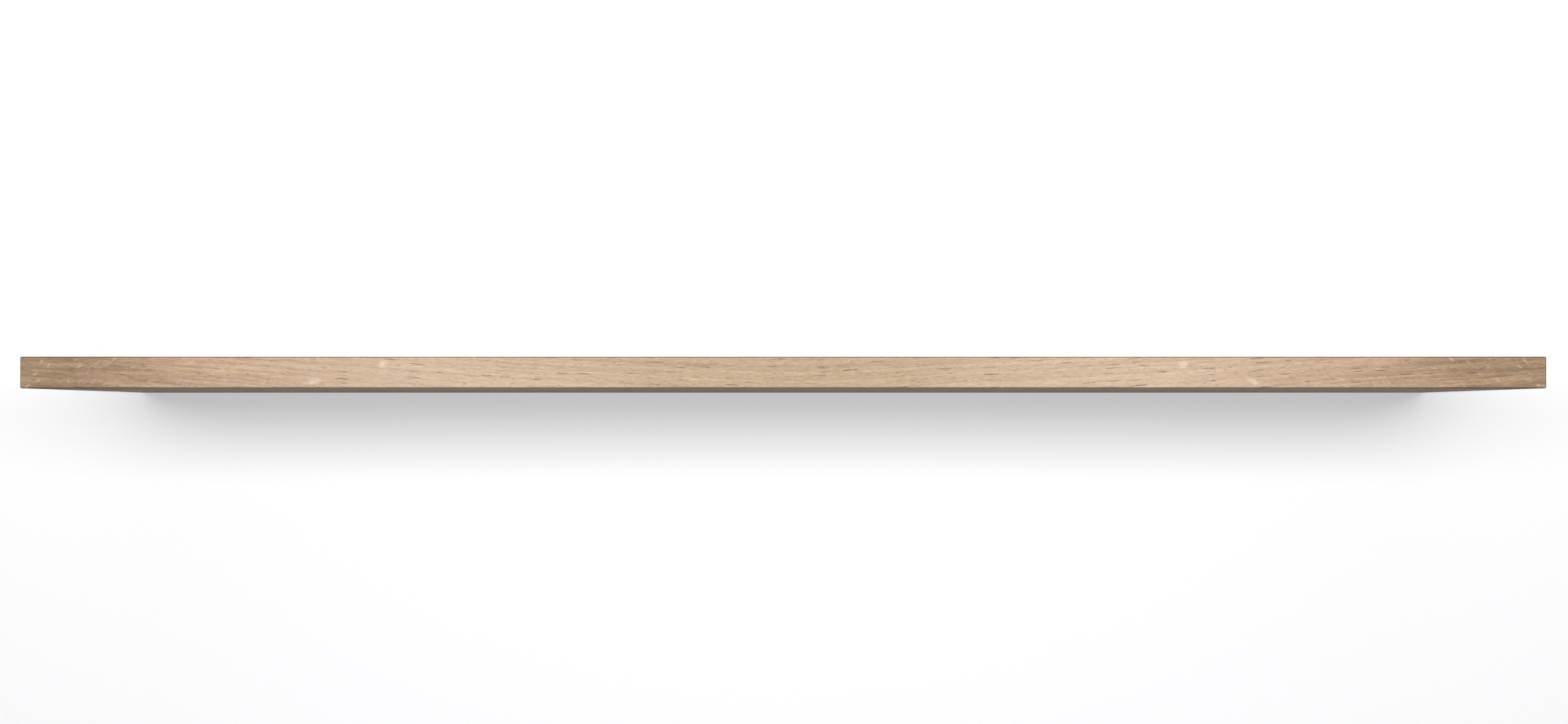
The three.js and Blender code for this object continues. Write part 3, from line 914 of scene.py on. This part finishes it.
def white_oak(
    name, pith, slope, bend, ring_width, tone, darkening, figure, fleck_turn, seed, marks=()
):
    """White oak, sawn, sanded and oiled: pale brown, with dark open pores and a soft sheen"""
    material, tree, shader = new_material(name)
    texture = add_node(tree, "ShaderNodeTexCoord").outputs
    place = add_node(tree, "ShaderNodeVectorMath", texture["Object"], MM, operation="SCALE")
    grain, away = sawn_grain(tree, place, slope, bend, seed)
    share = add_node(tree, "ShaderNodeMath", away, MM * board_length / 2, operation="DIVIDE")
    outward = add_node(
        tree, "ShaderNodeVectorMath", grain, (0, 1, 1), (0, -pith[0], -pith[1]),
        operation="MULTIPLY_ADD",
    )
    early, chance = growth_rings(tree, grain, outward, ring_width)
    wave = add_node(tree, "ShaderNodeTexNoise", grain, Scale=1 / WAVE_LENGTH_MM, Detail=2)
    wave = wave.outputs["Color"]
    wavy = add_node(tree, "ShaderNodeVectorMath", wave, WAVER_MM, grain, operation="MULTIPLY_ADD")

    # Vessels cut open lengthwise are dark dashes, the broad ones in the earlywood. Those that are
    # drawn here are about twice as wide as real ones, so that they show. The fine ones are fewest
    # in the calm stretch halfway to the ends.
    open_from = add_node(tree, "ShaderNodeMapRange", early, 0, 1, 0.97, 0.45)
    vessels = strokes(tree, wavy, VESSEL_MM, (0.22, 0.42), open_from, "Red")
    calm = add_node(tree, "ShaderNodeValToRGB", share)
    set_stops(calm, (0, "#707070"), (0.3, "#f0f0f0"), (0.6, "#ffffff"), (0.8, "#707070"))
    open_from = add_node(tree, "ShaderNodeMapRange", calm, 0, 1, 0.44, 0.7)
    fine_vessels = strokes(tree, wavy, FINE_VESSEL_MM, (0.15, 0.5), open_from, "Green")
    curled = curled_halves(tree, place, away, wave)
    flecks = ray_flecks(tree, place, curled, away, pith, texture["Normal"], fleck_turn)

    # The wood is lighter halfway to the ends and darker at the ends of the board. This is partly its
    # own tone and partly painted shade where the light falls off towards the ends. It has pinker and
    # yellower patches, and its darker fibres are the redder ones
    darkened = add_node(tree, "ShaderNodeMath", share, darkening, operation="MULTIPLY")
    wood = add_node(tree, "ShaderNodeValToRGB", darkened)
    set_stops(
        wood, (0, "#d9bfa6"), (0.16, "#d9bfa6"), (0.32, "#e4cbb4"), (0.5, "#e8ceb8"),
        (0.78, "#d7b9a1"), (0.9, "#b69982"), (1, "#b69c81"),
    )
    patch = clouds(tree, grain, PATCH_MM, detail=4, roughness=0.7)
    tint = add_node(
        tree, "ShaderNodeMix", patch, linear("#fff8ff"), linear("#ffffe0"), data_type="RGBA"
    )
    wood = add_node(tree, "ShaderNodeVectorMath", wood, tint, operation="MULTIPLY")
    fibre = clouds(tree, wavy, FIBRE_MM, detail=4, roughness=0.65)
    redness = add_node(tree, "ShaderNodeMapRange", fibre, 0, 1, 1.45, 0.55)
    wood = add_node(tree, "ShaderNodeGamma", wood, redness)
    shade = wood_shade(tree, grain, wavy, fibre, share, chance, tone, seed)
    wood = add_node(tree, "ShaderNodeVectorMath", wood, shade, operation="SCALE")

    # Every arris is painted dark, a painted shade line along each edge, and end grain drinks more oil
    normal = add_node(tree, "ShaderNodeVectorMath", texture["Normal"], operation="ABSOLUTE")
    facing = add_node(tree, "ShaderNodeSeparateXYZ", normal).outputs
    flat = add_node(tree, "ShaderNodeMath", facing[1], facing[2], operation="MAXIMUM")
    flat = add_node(tree, "ShaderNodeMath", flat, facing[0], operation="MAXIMUM")
    arris = add_node(tree, "ShaderNodeMapRange", flat, 0.99, 0.88, 0, 0.85)
    recess = inside_recess(tree, place)
    arris = add_node(tree, "ShaderNodeMath", arris, recess, operation="SUBTRACT", use_clamp=True)
    end_grain = add_node(tree, "ShaderNodeMapRange", facing[0], 0.7, 0.9, 0, 1)
    figure = add_node(tree, "ShaderNodeMath", end_grain, 0.3, figure, operation="MULTIPLY_ADD")
    for mask, strength, colour in (
        (early, figure, "#ab8661"),
        (vessels, 0.85, "#7a5333"),
        (fine_vessels, 0.5, "#8a6a4c"),
        (flecks, 0.82, "#e9ccb7"),
        *((mark, 0.9, "#ffe5cd") for mark in pale_marks(tree, curled, marks)),
        (end_grain_rays(tree, outward, end_grain), 0.4, "#e0c9ab"),
        (end_grain, 0.4, "#6b4f38"),
        # The arrises get painted shade: a dark line along every edge
        (arris, 1, "#6b4f38"),
        # The pockets and bores get painted shade: darker inside
        (recess, 0.35, "#6a4a30"),
    ):
        mask = add_node(tree, "ShaderNodeMath", mask, strength, operation="MULTIPLY")
        wood = add_node(tree, "ShaderNodeMix", mask, wood, linear(colour), data_type="RGBA")
    relief = add_node(tree, "ShaderNodeMath", vessels, -1, fibre, operation="MULTIPLY_ADD")
    fill(tree, shader, {
        "Base Color": wood,
        "Roughness": add_node(tree, "ShaderNodeMapRange", fibre, 0, 1, 0.45, 0.85),
        "Specular IOR Level": 0.22,
        "Normal": add_node(
            tree, "ShaderNodeBump", Strength=0.4, Distance=GRAIN_DEPTH, Height=relief
        ),
    })
    return material


# Each stave's timber, from the front to the wall, with its places and widths in mm. The pith is at
# that Y and Z. The grain climbs by the slope in each mm away from the bend, which is at that X. Tone
# is how light the stave is. Darkening is how much its ends darken, partly in the wood's own tone and
# partly as painted shade. Figure is how strong its earlywood is. A mark has its X from the bend, its
# Z, and half its length and width.
STAVES = {
    "front_stave": dict(
        pith=(-172, -58), slope=0.07, bend=0, ring_width=3.2, tone=1.0, darkening=1,
        figure=0.14, fleck_turn=(0, FLECK_LEAN, 0), seed=1,
        marks=((369.5, -7.3, 7.5, 2.8), (314.5, 6.6, 4.4, 3.6)),
    ),
    "second_stave": dict(
        pith=(-142, -16), slope=0.014, bend=120, ring_width=2.1, tone=0.9, darkening=0.75,
        figure=0.6, fleck_turn=(0, FLECK_LEAN, 0), seed=2,
    ),
    "middle_stave": dict(
        pith=(-55, -72), slope=-0.01, bend=-200, ring_width=2.2, tone=1.04, darkening=0.65,
        figure=0.5, fleck_turn=(0, 0, FLECK_LEAN), seed=3,
    ),
    "fourth_stave": dict(
        pith=(-62, 44), slope=-0.016, bend=-90, ring_width=2.3, tone=0.84, darkening=0.65,
        figure=0.55, fleck_turn=(0, FLECK_LEAN, 0), seed=4,
    ),
    "rear_stave": dict(
        pith=(-95, -14), slope=0.012, bend=260, ring_width=2.1, tone=0.98, darkening=0.65,
        figure=0.6, fleck_turn=(0, 0, FLECK_LEAN), seed=5,
    ),
}


corners = [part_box(name) for name in STAVES]
low = Vector(map(min, *(corner[0] for corner in corners)))
high = Vector(map(max, *(corner[1] for corner in corners)))
board_length, board_depth, board_thickness = high - low
blank = board_blank()
recesses = on_brackets(bracket_recess(), 1)
stave_width = board_depth / len(STAVES)
for number, (name, timber) in enumerate(STAVES.items()):
    front = number * stave_width - board_depth + (GLUE_LINE / 2 if number else -OVERRUN)
    last = number == len(STAVES) - 1
    rear = (number + 1) * stave_width - board_depth + (OVERRUN if last else -GLUE_LINE / 2)
    x, z = board_length / 2 + OVERRUN, board_thickness / 2 + OVERRUN
    stave = machined(blank.copy(), "INTERSECT", block((-x, front, -z), (x, rear, z)))
    stave = machined(stave, "DIFFERENCE", recesses.copy())
    wood = white_oak(f"sanded_oiled_white_oak_{name}", **timber)
    dressed(f"oak_{name}", stave, wood, "board", [name])

# The stage. A white wall, a pale floor, soft lamps and the camera. The wall is there only for what
# is in front of it, so that the views from behind see the back of the board.

WALL_GAP = 0.0003
REACH = 12
FLOOR_DEPTH = 1.3


def plane(name, corners, material):
    """A flat stage piece"""
    mesh = bpy.data.meshes.new(name)
    mesh.from_pydata(corners, [], [(0, 1, 2, 3)])
    piece = bpy.data.objects.new(name, mesh)
    bpy.context.scene.collection.objects.link(piece)
    mesh.materials.append(material)


def seen_rays(tree):
    """1 where the background is looked at, straight on or mirrored in metal, and 0 where it lights"""
    path = add_node(tree, "ShaderNodeLightPath").outputs
    seen = path["Is Camera Ray"]
    for ray in ("Is Glossy Ray", "Is Transmission Ray"):
        seen = add_node(tree, "ShaderNodeMath", seen, path[ray], operation="MAXIMUM")
    return seen


def stage_paint(name, seen, felt, glow, near, far, see_through):
    """Matt paint that fades to plain white far off. It looks brighter than the light that it gives."""
    material = bpy.data.materials.new(name)
    material.use_nodes = True
    tree = material.node_tree
    tree.nodes.clear()
    looked_at = seen_rays(tree)
    colour = add_node(
        tree, "ShaderNodeMix", looked_at, linear(felt), linear(seen), data_type="RGBA"
    )
    paint = add_node(tree, "ShaderNodeBsdfDiffuse", colour)
    place = add_node(tree, "ShaderNodeTexCoord").outputs["Object"]
    reach = add_node(tree, "ShaderNodeVectorMath", place, operation="LENGTH")
    glow = add_node(
        tree, "ShaderNodeMapRange", reach, near, far, glow, 1, interpolation_type="SMOOTHSTEP"
    )
    strength = add_node(tree, "ShaderNodeMath", looked_at, glow, operation="MULTIPLY")
    light = add_node(tree, "ShaderNodeEmission", Strength=strength)
    front = add_node(tree, "ShaderNodeAddShader", paint, light)
    if see_through:
        back = add_node(tree, "ShaderNodeNewGeometry").outputs["Backfacing"]
        shadow = add_node(tree, "ShaderNodeLightPath").outputs["Is Shadow Ray"]
        gone = add_node(tree, "ShaderNodeMath", back, shadow, operation="MAXIMUM")
        clear = add_node(tree, "ShaderNodeBsdfTransparent")
        front = add_node(tree, "ShaderNodeMixShader", gone, front, clear)
    add_node(tree, "ShaderNodeOutputMaterial", front)
    return material


wall_paint = stage_paint(
    "wall_paint", seen="#e6e6e6", felt="#788290", glow=0.43, near=0.87, far=2.4, see_through=True
)
corners = ((-REACH, -FLOOR_DEPTH), (REACH, -FLOOR_DEPTH), (REACH, REACH), (-REACH, REACH))
plane("wall", [(x, WALL_GAP, z) for x, z in corners], wall_paint)
floor_paint = stage_paint(
    "floor_paint", seen="#707070", felt="#666a74", glow=0.78, near=2, far=9, see_through=False
)
corners = ((-REACH, -REACH), (REACH, -REACH), (REACH, REACH), (-REACH, REACH))
plane("floor", [(x, y, -FLOOR_DEPTH) for x, y in corners], floor_paint)


def lamp(name, power, size, place, aim, spread=180, colour="#ffffff"):
    """A soft oval lamp that shines from its place towards a point"""
    data = bpy.data.lights.new(name, "AREA")
    data.shape, data.energy = "ELLIPSE", power
    data.size, data.size_y = size
    data.spread = math.radians(spread)
    data.color = linear(colour)[:3]
    piece = bpy.data.objects.new(name, data)
    piece.location = place
    piece.rotation_euler = (Vector(aim) - Vector(place)).to_track_quat("-Z", "Y").to_euler()
    piece.visible_camera = False
    bpy.context.scene.collection.objects.link(piece)


lamp("window", power=56, size=(4.5, 0.92), place=(0, -2.5, 0.53), aim=(0, 0, 0.53))
lamp(
    "low_fill", power=1.7, size=(0.9, 0.3), place=(0, -1.3, -0.26), aim=(0, 0, -0.05),
    colour="#eceeff",
)
lamp("ceiling_lamp", power=9, size=(1.8, 0.12), place=(0, -0.12, 1.5), aim=(0, -0.12, 0))
lamp("rear_lamp", power=22, size=(3.0, 0.8), place=(0, 1.7, 0.9), aim=(0, 0, 0), spread=150)

# The room around the shelf is seen as plain white, and lights it with a tenth of that
world = bpy.data.worlds.new("white_room")
world.use_nodes = True
bpy.context.scene.world = world
tree = world.node_tree
strength = add_node(tree, "ShaderNodeMapRange", seen_rays(tree), 0, 1, 0.1, 1)
fill(tree, tree.nodes["Background"], {"Color": linear("#ffffff"), "Strength": strength})

# The camera stands where the photographer's did, level and a little below the board
camera = bpy.data.objects.new("camera", bpy.data.cameras.new("camera"))
camera.data.sensor_width = 36
camera.data.lens = 30.42
camera.data.shift_y = 0.034
camera.location = (0.0006, -1.241, -0.0337)
camera.rotation_euler = (math.pi / 2, 0, 0)
bpy.context.scene.collection.objects.link(camera)
bpy.context.scene.camera = camera
bpy.context.scene.view_settings.view_transform = "Standard"
